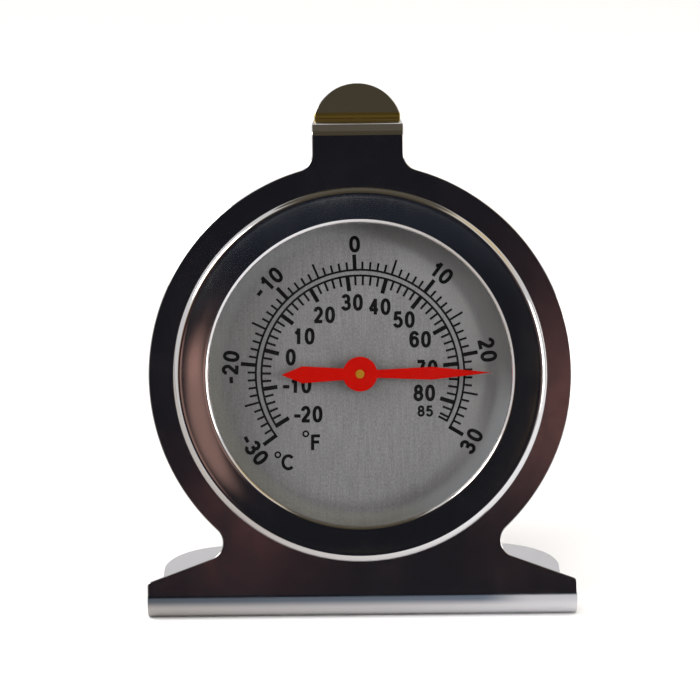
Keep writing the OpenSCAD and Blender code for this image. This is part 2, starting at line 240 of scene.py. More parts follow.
TIP_HIGHLIGHT = (36.2, 37.1, -10.3)    # the painted highlight's lowest and highest line, and how far behind the dial


def tip_painted_highlight(t, at, colour):
    """A gold painted highlight, a strip where the tip is folded up."""
    _, y, z = t.split(at)
    low, high, behind = TIP_HIGHLIGHT
    strip = t.math("MULTIPLY", t.remap(y, low - 0.1, low + 0.1), t.remap(y, high + 0.3, high - 0.1))
    strip = t.math("MULTIPLY", strip, t.remap(z, behind + 0.4, behind))
    return t.mix(strip, colour, (0.62, 0.47, 0.14))


def fold_painted_line(t, at, colour, rough):
    """A dark line of painted shade where the sheet starts to fold into the foot, and a duller fold all
    round.
    """
    x, y, z = t.split(at)
    line = t.math("MULTIPLY", t.remap(y, FOLD_V + 0.1, FOLD_V - 0.2), t.remap(z, -2.0, -1.0))
    line = t.math("MULTIPLY", line, t.remap(y, FOLD_V - 1.9, FOLD_V - 0.7))
    line = t.math("MULTIPLY", line, t.remap(x, 16, 24, 1.0, 0.3))
    fold = t.math("MULTIPLY", t.remap(y, FOLD_V + 0.2, FOLD_V - 0.5), t.remap(z, -4.0, -3.0))
    return t.mix(line, colour, (0.12, 0.145, 0.18)), t.math("MULTIPLY_ADD", fold, 0.10, rough)


def stainless(name, tint, smooth, grain, spin=False, wave=1.0, edge=True, folded=False):
    """Polished stainless sheet. grain is how strong the rolling or spinning lines are, wave how
    wavy it is, and edge whether its edges are paler, partly from wear and partly a painted highlight.
    folded adds the painted highlight at the tip's fold, the painted shade where the foot's fold starts,
    and a duller fold."""
    mat, t, s = material(name)
    at = t.face_point()
    if spin:
        x, y, z = t.split(at)
        radius = t.vector("LENGTH", t.xyz(x, y, 0.0))
        turn = t.math("ARCTAN2", y, x)
        round_about = t.xyz(radius, turn, z)
        fine = t.vector("MULTIPLY", round_about, (16, 1.5, 16))
        coarse = t.vector("MULTIPLY", round_about, (4, 3.0, 4))
    else:
        fine = t.vector("MULTIPLY", at, (0.35, 14, 14))
        coarse = t.vector("MULTIPLY", at, (0.12, 3.2, 3.2))
    lines = t.noise(fine, 1.0, 3, 0.6)
    bands = t.noise(coarse, 1.0, 2, 0.5)
    smudge = t.remap(t.noise(at, 0.075, 5, 0.62, 0.6), 0.42, 0.72)
    wipes = t.noise(t.vector("MULTIPLY", at, (0.5, 0.09, 0.3)), 1.0, 4, 0.6, 0.3)
    wipes = t.remap(wipes, 0.45, 0.75)
    marks = t.math("MAXIMUM", scratches(t, at, 9.0, 24, 0.60), scratches(t, at, 12.0, -63, 0.62))
    specks = dust(t, at, 1.9, 0.07)
    worn_edge_glint = edge_mask(t, 0.22 * MM) if edge else 0.0

    colour = t.mix(t.math("MULTIPLY", bands, 0.35), tint, [c * 0.9 for c in tint])
    rough = t.math("MULTIPLY_ADD", lines, grain * 0.10, smooth)
    if folded:
        # Painted highlight at the tip's fold, and a line of painted shade where the foot's fold starts.
        colour = tip_painted_highlight(t, at, colour)
        colour, rough = fold_painted_line(t, at, colour, rough)
    # Paler edges: partly wear, partly a painted highlight.
    colour = t.mix(t.math("MULTIPLY", worn_edge_glint, 0.45), colour, (0.82, 0.80, 0.76))
    colour = t.mix(t.math("MULTIPLY", specks, 0.7), colour, (0.72, 0.70, 0.68))
    for mask, share in ((smudge, 0.035), (wipes, 0.02), (marks, 0.06), (specks, 0.45), (worn_edge_glint, 0.10)):
        rough = t.math("MULTIPLY_ADD", mask, share, rough)
    t.put(s.inputs["Base Color"], colour)
    t.put(s.inputs["Metallic"], t.remap(specks, 0, 1, 1.0, 0.3, smooth=False))
    t.put(s.inputs["Roughness"], rough)

    wavy = t.bump(t.noise(at, 0.085, 1, 0.4), 0.030 * MM * wave)
    height = t.math("SUBTRACT", lines, t.math("MULTIPLY", marks, 1.5))
    t.put(s.inputs["Normal"], t.bump(height, 0.0007 * MM * grain, wavy))
    return mat


def dial_painted_light(t, at, colour):
    """Painted light and shade on the dial: a painted highlight to the right, painted shade at its
    middle and to the left, and a ring of painted shade near the rim, strongest at the upper right.
    Outside the ring the rim is painted pale, a painted reflection."""
    x, y, _ = t.split(at)
    radius = t.vector("LENGTH", t.xyz(x, y, 0.0))
    # Painted highlight: paler towards the right, near the rim.
    pale = t.remap(t.math("MULTIPLY_ADD", y, 0.17, x), 3.0, 14.5, 0.0, 0.45)
    pale = t.math("MULTIPLY", pale, t.remap(radius, 12.0, 17.0))
    colour = t.mix(pale, colour, (0.62, 0.61, 0.61))

    # Painted shade: a duller ring near the rim, strongest at the upper right, and darker at the left and
    # the middle.
    not_upper_right = t.remap(t.math("MULTIPLY_ADD", y, 0.7, t.math("MULTIPLY", x, 0.7)), 16, 9)
    off_centre = t.vector("LENGTH", t.xyz(t.math("ADD", x, 1.0), t.math("SUBTRACT", y, 0.6), 0.0))
    outside = t.math("MULTIPLY", t.remap(radius, 18.8, 20.2), not_upper_right)
    ring = t.math("MULTIPLY", t.remap(off_centre, 17.9, 19.2), t.math("SUBTRACT", 1.0, outside))
    slant = t.math("MULTIPLY_ADD", y, 0.57, t.math("MULTIPLY", x, 0.82))
    shade_strength = t.math("MAXIMUM", t.remap(slant, 7.5, 15, 0.10, 0.56), t.remap(y, -6, -17, 0.10, 0.26))
    dull = t.math("MAXIMUM", t.math("MULTIPLY", ring, shade_strength), t.remap(x, -6, -17, 0.0, 0.28))
    dull = t.math("MAXIMUM", dull, t.remap(radius, 9.0, 2.5, 0.0, 0.20))
    colour = t.mix(dull, colour, (0.15, 0.145, 0.143))

    # Painted reflection: the rim outside the ring is paler, bluish at the upper left and yellowish at the
    # lower left.
    rim = t.math("MULTIPLY", t.remap(radius, 18.8, 20.4), not_upper_right)
    rim = t.math("MULTIPLY", rim, t.remap(t.math("MULTIPLY_ADD", y, -0.26, x), 0, 18, 0.25, 0.85))
    rim_reflection_tone = t.mix(t.remap(t.math("ADD", x, y), -4, -26), (0.56, 0.575, 0.60), (0.56, 0.54, 0.39))
    return t.mix(rim, colour, rim_reflection_tone)


def brushed_dial():
    """Aluminium dial, brushed up and down."""
    mat, t, s = material("dial_brushed")
    at = t.face_point()
    hair = t.noise(t.vector("MULTIPLY", at, (5.5, 2.6, 1.0)), 1.0, 4, 0.75)
    thread = t.noise(t.vector("MULTIPLY", at, (2.6, 0.22, 1.0)), 1.0, 4, 0.65)
    cloud = t.noise(at, 0.09, 3, 0.5)
    specks = dust(t, at, 1.6, 0.035)
    shade = t.math("ADD", t.math("MULTIPLY", hair, 0.68), t.math("MULTIPLY", thread, 0.32))
    colour = t.mix(t.remap(shade, 0.37, 0.63), (0.245, 0.240, 0.248), (0.400, 0.391, 0.404))
    # Painted light and shade over the brushed tone.
    colour = dial_painted_light(t, at, colour)
    colour = t.mix(t.math("MULTIPLY", cloud, 0.25), colour, (0.33, 0.33, 0.315))
    colour = t.mix(t.math("MULTIPLY", specks, 0.6), colour, (0.85, 0.84, 0.80))
    t.put(s.inputs["Base Color"], colour)
    t.put(s.inputs["Metallic"], t.remap(specks, 0, 1, 0.85, 0.2, smooth=False))
    t.put(s.inputs["Roughness"], t.remap(shade, 0.25, 0.75, 0.38, 0.50))
    s.inputs["Anisotropic"].default_value = 0.6
    t.put(s.inputs["Tangent"], t.xyz(*face_right))
    t.put(s.inputs["Normal"], t.bump(shade, 0.010 * MM))
    return mat


def red_paint():
    """Satin red paint, with a little orange peel and paler edges, partly wear and partly a painted
    highlight.
    """
    mat, t, s = material("pointer_red_paint")
    at = t.face_point()
    cloud = t.noise(at, 0.5, 3, 0.6)
    peel = t.noise(at, 4.5, 2, 0.5)
    specks = dust(t, at, 0.9, 0.05)
    worn_edge_glint = edge_mask(t, 0.10 * MM)
    colour = t.mix(cloud, (0.29, 0.0016, 0.0002), (0.34, 0.0026, 0.0003))
    # Paler red edges: partly wear, partly a painted highlight.
    colour = t.mix(t.math("MULTIPLY", worn_edge_glint, 0.35), colour, (0.64, 0.030, 0.006))
    colour = t.mix(t.math("MULTIPLY", specks, 0.45), colour, (0.80, 0.40, 0.33))
    t.put(s.inputs["Base Color"], colour)
    t.put(s.inputs["Roughness"], t.math("MULTIPLY_ADD", peel, 0.12, 0.36))
    t.put(s.inputs["Normal"], t.bump(peel, 0.003 * MM))
    s.inputs["Specular IOR Level"].default_value = 0.05
    return mat


def dial_ink():
    """Black screen-printed ink, slightly uneven."""
    mat, t, s = material("dial_ink")
    at = t.face_point()
    cover = t.noise(at, 3.5, 4, 0.65)
    colour = t.mix(cover, (0.0008, 0.0008, 0.0010), (0.0040, 0.0038, 0.0040))
    t.put(s.inputs["Base Color"], colour)
    t.put(s.inputs["Roughness"], t.remap(cover, 0.3, 0.7, 0.42, 0.58))
    t.put(s.inputs["Normal"], t.bump(cover, 0.002 * MM))
    s.inputs["Specular IOR Level"].default_value = 0.12
    return mat


def clear_glass():
    """Flat glass. It's clear head on, and mirrors more towards its edges, with a faint film of dust."""
    mat, t, s = material("glass_clear")
    at = t.face_point()
    film = t.remap(t.noise(at, 0.16, 5, 0.65, 0.4), 0.45, 0.8)
    specks = dust(t, at, 2.0, 0.05)
    fresnel = t.add("Fresnel")
    fresnel.inputs["IOR"].default_value = 1.5
    front = t.math("SUBTRACT", 1.0, t.add("NewGeometry").outputs["Backfacing"])
    haze = t.math("MULTIPLY_ADD", specks, 0.25, t.math("MULTIPLY", film, 0.0015))
    gloss = t.add("BsdfGlossy")
    t.put(gloss.inputs["Roughness"], t.math("MULTIPLY_ADD", film, 0.06, 0.012))
    t.put(gloss.inputs["Normal"], t.bump(film, 0.0006 * MM))
    white = t.add("BsdfDiffuse")
    t.put(white.inputs["Color"], (0.75, 0.74, 0.72))
    clear = t.add("BsdfTransparent")
    t.put(clear.inputs["Color"], (0.985, 0.992, 0.988))
    seen = t.add("MixShader")
    t.put(seen.inputs[0], t.math("MULTIPLY", fresnel.outputs[0], front))
    t.put(seen.inputs[1], clear.outputs[0])
    t.put(seen.inputs[2], gloss.outputs[0])
    hazy = t.add("MixShader")
    t.put(hazy.inputs[0], haze)
    t.put(hazy.inputs[1], seen.outputs[0])
    t.put(hazy.inputs[2], white.outputs[0])
    mat.node_tree.nodes.remove(s)
    out = next(n for n in mat.node_tree.nodes if n.type == "OUTPUT_MATERIAL")
    t.put(out.inputs["Surface"], hazy.outputs[0])
    return mat


def turned_metal(name, bright, dull, rough, tarnish, metallic=1.0):
    """Turned or stamped small parts: brass, plain steel, aluminium or bimetal strip."""
    mat, t, s = material(name)
    at = t.face_point()
    x, y, z = t.split(at)
    radius = t.vector("LENGTH", t.xyz(x, y, 0.0))
    turning = t.noise(t.vector("MULTIPLY", t.xyz(radius, 0.0, z), (18, 0, 18)), 1.0, 2, 0.6)
    stain = t.remap(t.noise(at, 0.7, 5, 0.65, 0.5), 0.4, 0.75)
    colour = t.mix(t.math("MULTIPLY", stain, tarnish), bright, dull)
    worn_edge_glint = edge_mask(t, 0.12 * MM)
    # Brighter edges: partly wear, partly a painted highlight.
    colour = t.mix(t.math("MULTIPLY", worn_edge_glint, 0.4), colour, [min(1.0, c * 1.2) for c in bright])
    t.put(s.inputs["Base Color"], colour)
    s.inputs["Metallic"].default_value = metallic
    rough = t.math("MULTIPLY_ADD", turning, 0.10, rough)
    t.put(s.inputs["Roughness"], t.math("MULTIPLY_ADD", stain, 0.14, rough))
    t.put(s.inputs["Normal"], t.bump(turning, 0.0015 * MM))
    return mat


def rubber():
    """Black rubber with a faint grey bloom."""
    mat, t, s = material("gasket_rubber")
    at = t.face_point()
    grain = t.noise(at, 5.0, 4, 0.7)
    bloom = t.remap(t.noise(at, 0.5, 4, 0.6), 0.45, 0.75)
    colour = t.mix(t.math("MULTIPLY", bloom, 0.5), (0.018, 0.018, 0.019), (0.05, 0.05, 0.052))
    t.put(s.inputs["Base Color"], colour)
    t.put(s.inputs["Roughness"], t.remap(grain, 0.3, 0.7, 0.55, 0.75))
    t.put(s.inputs["Normal"], t.bump(grain, 0.01 * MM))
    return mat


stand_steel = stainless("stand_stainless", (0.60, 0.585, 0.575), 0.040, 1.0, folded=True)
bezel_steel = stainless(
    "bezel_stainless", (0.63, 0.615, 0.60), 0.045, 0.8, spin=True, wave=0.8, edge=False
)
case_steel = stainless("case_stainless", (0.58, 0.57, 0.56), 0.16, 2.0, spin=True)
brass = turned_metal("brass", (0.35, 0.165, 0.004), (0.27, 0.12, 0.003), 0.45, 0.4, metallic=0.55)
plain_steel = turned_metal("plain_steel", (0.55, 0.55, 0.56), (0.33, 0.32, 0.31), 0.28, 0.5)
bimetal = turned_metal("bimetal_strip", (0.62, 0.52, 0.40), (0.35, 0.30, 0.34), 0.30, 0.7)
aluminium = turned_metal("spacer_aluminium", (0.72, 0.72, 0.72), (0.50, 0.50, 0.50), 0.35, 0.4)
FINISH = {
    "stand_plate": stand_steel, "bezel_ring": bezel_steel, "glass_lens": clear_glass(),
    "lens_gasket": rubber(), "spacer_ring": aluminium, "dial_plate": brushed_dial(),
    "case_cup": case_steel, "movement_base": plain_steel, "movement_bridge": plain_steel,
    "movement_rivets": plain_steel, "front_bearing": brass, "rear_bearing": brass,
    "coil_post": brass, "coil_rivet": brass, "bimetal_coil": bimetal, "coil_collet": brass,
    "thrust_washers": plain_steel, "pointer_shaft": brass, "pointer_bush": brass,
    "pointer": red_paint(),
}
for name, finish in FINISH.items():
    for slot in nodes[name].material_slots:
        slot.material = finish


# ---------------------------------------------------------------- pieces

def piece(name, bm, finish, body, smooth_angle=None):
    """Makes a mesh object from bm, whose points are already in the row frame."""
    mesh = bpy.data.meshes.new(name)
    bmesh.ops.recalc_face_normals(bm, faces=bm.faces)
    bm.to_mesh(mesh)
    bm.free()
    mesh.materials.append(finish)
    obj = bpy.data.objects.new(name, mesh)
    bpy.context.scene.collection.objects.link(obj)
    if smooth_angle is not None:
        mesh.shade_smooth()
        mesh.set_sharp_from_angle(angle=math.radians(smooth_angle))
    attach(obj, body)
    return obj


def arc(cx, cy, radius, start, end, steps):
    """Points round an arc, with both ends."""
    turns = [math.radians(start + (end - start) * i / steps) for i in range(steps + 1)]
    return [(cx + radius * math.cos(a), cy + radius * math.sin(a)) for a in turns]


def outward_of(loop):
    """How far each point of a loop moves when its sides move out by 1, the material on its left."""
    out = []
    for i, p in enumerate(loop):
        p = Vector(p)
        a, b = p - Vector(loop[i - 1]), Vector(loop[(i + 1) % len(loop)]) - p
        n = Vector((a.y, -a.x)).normalized() + Vector((b.y, -b.x)).normalized()
        out.append(n * min(2 / n.length_squared, 2 / n.length))
    return out


def sheet(name, loops, creases, place, thick, rounding, finish, body):
    """A part cut from sheet. The first loop of the flat pattern is its outline, counter-clockwise,
    and the others are holes, clockwise. place(x, s, depth) gives a point and the sheet's normal.
    The cut edges are rounded, and every point keeps its exact normal, so that a flat mirrors flat."""
    verts, normals, faces = [], [], []

    def add(x, s, depth, lean, outward=None):
        point, normal = place(x, s, depth)
        turned = normal * math.cos(lean)
        if outward is not None:
            beside = place(x + outward.x * MM, s + outward.y * MM, depth)[0]
            turned += (beside - point).normalized() * math.sin(lean)
        verts.append(point)
        normals.append(turned)
        return len(verts) - 1

    quarter = [math.radians(90 * k / ROUND_STEPS) for k in range(ROUND_STEPS + 1)]
    rows = [(lean, rounding * (1 - math.cos(lean))) for lean in quarter]
    rows += [(math.pi - lean, thick - depth) for lean, depth in reversed(rows)]
    flat, edges, front_rim, back_rim, holes = [], list(creases), [], [], []
    for loop in loops:
        outward = outward_of(loop)
        stack = []
        for lean, depth in rows:
            inset = rounding * (1 - math.sin(lean))
            moved = [Vector(p) - n * inset for p, n in zip(loop, outward)]
            stack.append([add(p.x, p.y, depth, lean, n) for p, n in zip(moved, outward)])
        n = len(loop)
        for upper, lower in zip(stack, stack[1:]):
            faces += [(upper[i], lower[i], lower[(i + 1) % n], upper[(i + 1) % n]) for i in range(n)]
        edges += [(len(flat) + i, len(flat) + (i + 1) % n) for i in range(n)]
        if loop is not loops[0]:
            middle = sum(moved, Vector((0, 0))) / n
            holes.append((middle, math.dist(moved[0], middle)))
        flat += moved
        front_rim += stack[0]
        back_rim += stack[-1]

    outline = [list(range(len(loops[0])))]
    made, _, cells, sources, _, owners = delaunay_2d_cdt(flat, edges, outline, 1, 1e-6)
    front = [front_rim[i[0]] if i else add(v.x, v.y, 0, 0) for v, i in zip(made, sources)]
    back = [back_rim[i[0]] if i else add(v.x, v.y, thick, math.pi) for v, i in zip(made, sources)]
    for cell, owner in zip(cells, owners):
        middle = sum((made[i] for i in cell), Vector((0, 0))) / len(cell)
        if owner and all(math.dist(middle, hole) > reach for hole, reach in holes):
            faces.append([front[i] for i in cell])
            faces.append([back[i] for i in reversed(cell)])
    mesh = bpy.data.meshes.new(name)
    mesh.from_pydata(verts, [], faces)
    mesh.shade_smooth()
    mesh.normals_split_custom_set_from_vertices(normals)
    mesh.materials.append(finish)
    obj = bpy.data.objects.new(name, mesh)
    bpy.context.scene.collection.objects.link(obj)
    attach(obj, body)
    return obj


def lathe(profile, steps):
    """A ring made by turning a closed profile of (radius, height) points round the dial's axis."""
    bm = bmesh.new()
    rings = []
    for i in range(steps):
        a = 2 * math.pi * i / steps
        rings.append([bm.verts.new(on_face(r * math.cos(a), r * math.sin(a), z)) for r, z in profile])
    n = len(profile)
    for i in range(steps):
        here, there = rings[i], rings[(i + 1) % steps]
        for j in range(n):
            k = (j + 1) % n
            bm.faces.new((here[j], here[k], there[k], there[j]))
    return bm


def bezel_section():
    """The bezel's sheet in section: lip, a slightly hollow slope, the roll and the crimp."""
    least, most, low, high = span("bezel_ring")
    lip = (least + BEZEL_LIP_R, high - BEZEL_ROLL_R - BEZEL_ROLL_RISE)
    roll = (most - BEZEL_ROLL_R, high - BEZEL_ROLL_R)
    crimp = (most - BEZEL_CRIMP_R, low + BEZEL_CRIMP_R)
    rise = math.atan2(roll[1] - lip[1], roll[0] - lip[0])
    tilt = math.asin((BEZEL_ROLL_R - BEZEL_LIP_R) / math.dist(lip, roll))
    square = 90 + math.degrees(rise + tilt)     # square to the slope that touches lip and roll
    slope_steps = 12

    def side(depth):
        points = arc(*lip, BEZEL_LIP_R - depth, 180, square, 14)
        a, b = points[-1], arc(*roll, BEZEL_ROLL_R - depth, square, 0, 1)[0]
        for i in range(1, slope_steps):
            f = i / slope_steps
            sag = BEZEL_HOLLOW * 4 * f * (1 - f)
            points.append((a[0] + (b[0] - a[0]) * f, a[1] + (b[1] - a[1]) * f - sag))
        points += arc(*roll, BEZEL_ROLL_R - depth, square, 0, 22)
        points += arc(*crimp, BEZEL_CRIMP_R - depth, 0, -90, 8)
        return points + [(BEZEL_CRIMP_IN, low + depth)]

    return side(0.0) + side(BEZEL_SHEET)[::-1]


bezel = piece("bezel", lathe(bezel_section(), BEZEL_STEPS), bezel_steel, "case", smooth_angle=50)
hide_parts("bezel_ring")


class Run:
    """One flat or fold of the stand, along the sheet's length."""

    def __init__(self, start, at, along, out, length, radius=0.0):
        self.start, self.at, self.along, self.out = start, Vector(at), Vector(along), Vector(out)
        self.length, self.radius = length, radius     # radius is 0 on a flat

    def point(self, s, depth):
        """Where the sheet is, up the face and out of it, and which way its outer side looks."""
        d = s - self.start
        if not self.radius:
            return self.at + self.along * d - self.out * depth, self.out
        a = d / self.radius
        pivot = self.at - self.out * self.radius
        out = self.out * math.cos(a) + self.along * math.sin(a)
        return pivot + out * (self.radius - depth), out

    def end(self):
        """Place, direction and outer side at the far end."""
        s = self.start + self.length
        at, out = self.point(s, 0.0)
        if not self.radius:
            return s, at, self.along, out
        a = self.length / self.radius
        return s, at, self.along * math.cos(a) - self.out * math.sin(a), out


def stand_runs():
    """The sheet's flats and folds, up from the dial's centre and down from it."""
    up = [Run(0.0, (0, 0), (1, 0), (0, 1), STRAP_V)]
    up.append(Run(*up[-1].end(), math.radians(90 - SHELF_SLOPE) * STRAP_R, STRAP_R))
    up.append(Run(*up[-1].end(), SHELF_LEN))
    up.append(Run(*up[-1].end(), math.radians(TIP_FOLD) * TIP_R, -TIP_R))
    up.append(Run(*up[-1].end(), TIP_H))
    down = [Run(0.0, (0, 0), (-1, 0), (0, 1), -FOLD_V)]
    down.append(Run(*down[-1].end(), (math.pi / 2 + LEAN) * FOLD_R, FOLD_R))
    down.append(Run(*down[-1].end(), FOOT_LEN))
    return up, down


UP, DOWN = stand_runs()


def place_stand(x, s, depth):
    """A point of the flat pattern on the folded stand, and the sheet's normal there."""
    runs, s = (UP, s) if s >= 0 else (DOWN, -s)
    run = next((r for r in runs if s <= r.start + r.length), runs[-1])
    (v, z), (nv, nz) = run.point(s, depth)
    return on_face(x, v, z), face_up * nv + face_out * nz


def stand_outline():
    """The right half of the flat pattern's outline, from the foot's end up to the tip."""
    foot_start = -DOWN[2].start
    foot_half, foot_end = BASE_HALF - FOOT_TAPER, foot_start - FOOT_LEN
    points = arc(foot_half - FOOT_CORNER_R, foot_end + FOOT_CORNER_R, FOOT_CORNER_R, -90, 0, 24)
    points += [(foot_half, foot_start - FOOT_LEN / 2)]
    bends = math.ceil((foot_start - FOLD_V) / -(math.radians(BEND_STEP) * FOLD_R))
    points += [(BASE_HALF, foot_start + (FOLD_V - foot_start) * i / bends) for i in range(bends + 1)]
    slope = math.radians(SHOULDER)
    across = Vector((math.sin(slope), math.cos(slope)))
    along = Vector((math.cos(slope), -math.sin(slope)))
    line_d = across.dot((BASE_HALF, BASE_TOP))
    reach = DISC_R + NOTCH_R
    notch = across * (line_d + NOTCH_R) + along * math.sqrt(reach ** 2 - (line_d + NOTCH_R) ** 2)
    corner_x = BASE_HALF - BASE_CORNER_R
    corner_y = (line_d - BASE_CORNER_R - across.x * corner_x) / across.y
    points += arc(corner_x, corner_y, BASE_CORNER_R, 0, 90 - SHOULDER, 8)
    to_notch = math.degrees(math.atan2(notch.y, notch.x))
    points += arc(*notch, NOTCH_R, 270 - SHOULDER, 180 + to_notch, 20)
    fillet_x = STRAP_HALF + FILLET_R
    fillet_y = math.sqrt((DISC_R + FILLET_R) ** 2 - fillet_x ** 2)
    to_fillet = math.degrees(math.atan2(fillet_y, fillet_x))
    points += arc(0, 0, DISC_R, to_notch, to_fillet, 90)[1:-1]
    points += arc(fillet_x, fillet_y, FILLET_R, 180 + to_fillet, 180, 12)
    bends = math.ceil((90 - SHELF_SLOPE) / BEND_STEP)
    points += [(STRAP_HALF, STRAP_V + UP[1].length * i / bends) for i in range(bends + 1)]
    tip_centre = UP[4].start - (STRAP_HALF - TIP_H)
    root = math.degrees(math.asin((STRAP_HALF - TIP_H) / STRAP_HALF))
    root_half = STRAP_HALF * math.cos(math.radians(root))
    bends = math.ceil(TIP_FOLD / BEND_STEP)
    points += [(root_half, UP[3].start + UP[3].length * i / bends) for i in range(bends)]
    points += arc(0, tip_centre, STRAP_HALF, root, 90, 24)
    return points


def on_fold(x, s):
    """Whether a point of the right half's outline is at the side of a fold."""
    tip_end = 6.0          # nearer the middle than this, the outline is the tip's round end
    near = 1e-6
    runs, reach = (UP, s) if s > 0 else (DOWN, -s)
    return x > tip_end and any(
        run.radius and run.start - near <= reach <= run.start + run.length + near for run in runs
    )


def make_stand():
    """The stand as one sheet, symmetric, with its hole for the case."""
    half = stand_outline()
    outline = half + [(-x, s) for x, s in half[-2::-1]]
    hole = arc(0, 0, HOLE_R, 0, -360, 160)[:-1]
    creases = [(i, len(outline) - 1 - i) for i, point in enumerate(half) if on_fold(*point)]
    return sheet("stand", [outline, hole], creases, place_stand, SHEET, STAND_EDGE_R, stand_steel, "case")


stand = make_stand()
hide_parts("stand_plate")


def pointer_outline():
    """The hub with its two arms, counter-clockwise from the needle's lower root."""
    points = []
    for way, (length, wide_at, root_w, wide_w) in ((1, NEEDLE), (-1, TAIL)):
        wide = wide_at * length
        lower = [(HUB_R, -root_w / 2), (wide, -wide_w / 2), (length, 0)]
        upper = [(wide, wide_w / 2), (HUB_R, root_w / 2)]
        points += [(x * way, y * way) for x, y in lower + upper]
        from_root = math.degrees(math.asin(root_w / 2 / HUB_R))
        to_root = 180 - math.degrees(math.asin((TAIL if way > 0 else NEEDLE)[2] / 2 / HUB_R))
        turn = 0 if way > 0 else 180
        points += arc(0, 0, HUB_R, from_root + turn, to_root + turn, 48)
    return points


def place_pointer(x, s, depth):
    """A point of the flat pattern on the pointer, turned to where it points at rest."""
    a = math.radians(POINTER_ANGLE)
    turned_x = x * math.cos(a) - s * math.sin(a)
    turned_y = x * math.sin(a) + s * math.cos(a)
    return on_face(turned_x, turned_y, POINTER_TOP - depth), face_out


needle = sheet(
    "red_pointer", [pointer_outline(), arc(0, 0, PRESS_R, 0, -360, 40)[:-1]], [], place_pointer,
    POINTER_TOP - span("pointer")[2], POINTER_EDGE_R, FINISH["pointer"], "pointer",
)
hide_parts("pointer")


# ---------------------------------------------------------------- the dial's print

def ellipse(cx, cy, rx, ry, start, end, power=2.0, steps=28):
    """Points on an ellipse, or on a squarer curve where power is over 2."""
    points = []
    for i in range(steps + 1):
        a = math.radians(start + (end - start) * i / steps)
        c, s = math.cos(a), math.sin(a)
        points.append((
            cx + rx * math.copysign(abs(c) ** (2 / power), c),
            cy + ry * math.copysign(abs(s) ** (2 / power), s),
        ))
    return points


# Each character's strokes, in a box 1 wide and 1 high along the strokes' middles.
GLYPHS = {
    "0": [ellipse(0.5, 0.5, 0.5, 0.5, 0, 360, 2.3, 48)],
    "1": [[(0.62, -0.09), (0.62, 1.09)], [(0.10, 0.70), (0.34, 0.78), (0.52, 0.90), (0.62, 1.06)]],
    "2": [
        ellipse(0.48, 0.70, 0.46, 0.30, 172, -28) + [(0.66, 0.40), (0.30, 0.17), (0.03, -0.02)],
        [(-0.12, 0.0), (1.1, 0.0)],
    ],
    "3": [
        ellipse(0.45, 0.76, 0.43, 0.24, 165, -88),
        ellipse(0.45, 0.27, 0.52, 0.27, 92, -163),
        [(0.26, 0.525), (0.5, 0.525)],
    ],
    "4": [[(0.72, -0.09), (0.72, 1.09)], [(0.72, 1.02), (-0.06, 0.27)], [(-0.12, 0.27), (1.14, 0.27)]],
    "5": [
        [(0.14, 1.0), (1.0, 1.0)],
        [(0.20, 1.08), (0.06, 0.44)],
        ellipse(0.46, 0.31, 0.52, 0.31, 150, -160),
    ],
    "6": [
        ellipse(0.52, 0.31, 0.48, 0.31, 0, 360),
        ellipse(0.53, 0.62, 0.52, 0.38, 26, 180) + [(0.01, 0.5), (0.03, 0.34)],
    ],
    "7": [[(-0.04, 1.0), (1.06, 1.0)], [(1.0, 0.98), (0.68, 0.60), (0.48, 0.28), (0.38, -0.09)]],
    "8": [ellipse(0.5, 0.76, 0.42, 0.24, 0, 360, 2.0, 40), ellipse(0.5, 0.27, 0.5, 0.27, 0, 360, 2.0, 40)],
    "-": [[(-0.45, 0.42), (1.45, 0.42)]],
    "C": [ellipse(0.5, 0.5, 0.5, 0.5, 42, 318)],
    "F": [[(0.0, -0.09), (0.0, 1.09)], [(0.0, 1.0), (1.05, 1.0)], [(0.0, 0.53), (0.92, 0.53)]],
    "o": [ellipse(0.5, 0.5, 0.5, 0.5, 0, 360, 2.0, 32)],
}
LOCAL_TURN = -0.6      # the print's angles are given as the camera sees them, and it's rolled


def ribbon(points, width):
    """Triangles that follow a line of points, width wide, with square ends."""
    closed = math.dist(points[0], points[-1]) < 1e-6
    sides = []
    last = len(points) - 1
    for i, p in enumerate(points):
        before = points[i - 1] if i else (points[-2] if closed else p)
        after = points[i + 1] if i < last else (points[1] if closed else p)
        d = Vector((after[0] - before[0], after[1] - before[1])).normalized()
        off = Vector((-d.y, d.x)) * width / 2
        sides.append((Vector(p) + off, Vector(p) - off))
    triangles = []
    for (a, b), (d, c) in zip(sides, sides[1:]):
        triangles += [[a, b, c], [a, c, d]]
    return triangles


def character(symbol, x, y, turn, wide, high, stroke):
    """The triangles of one character centred on (x, y), with its top turned from straight up."""
    a = math.radians(turn)
    c, s = math.cos(a), math.sin(a)
    triangles = []
    for line in GLYPHS[symbol]:
        placed = []
        for u, v in line:
            px, py = (u - 0.5) * (wide - stroke), (v - 0.5) * (high - stroke)
            placed.append((x + px * c - py * s, y + px * s + py * c))
        triangles += ribbon(placed, stroke)
    return triangles


def polar(radius, angle):
    """The point on the dial at a radius and an angle from its right, counter-clockwise."""
    a = math.radians(angle)
    return radius * math.cos(a), radius * math.sin(a)


def tick(inner, outer, angle, width):
    """The triangles of one graduation."""
    return ribbon([polar(inner, angle), polar(outer, angle)], width)


# The scales' angles, and the radii of their lines and of the ends of their ticks. Celsius ticks
# run outwards, every tenth and fifth degree to the long radius. Fahrenheit ticks run inwards.
ZERO_C, DEGREES_PER_C = 92.86, -4.113
C_LINE, C_LONG, C_SHORT = 14.6, 16.75, 15.75
F_LINE, F_LONG, F_SHORT = 13.8, 11.7, 12.45
LINE_W, C_TENTH_W, C_TICK_W, F_TENTH_W, F_TICK_W = 0.29, 0.54, 0.30, 0.58, 0.31
LINE_STEPS = 180


def celsius(value):
    """The angle of a temperature on the dial."""
    return ZERO_C + DEGREES_PER_C * value


def fahrenheit(value):
    return celsius((value - 32) / 1.8)


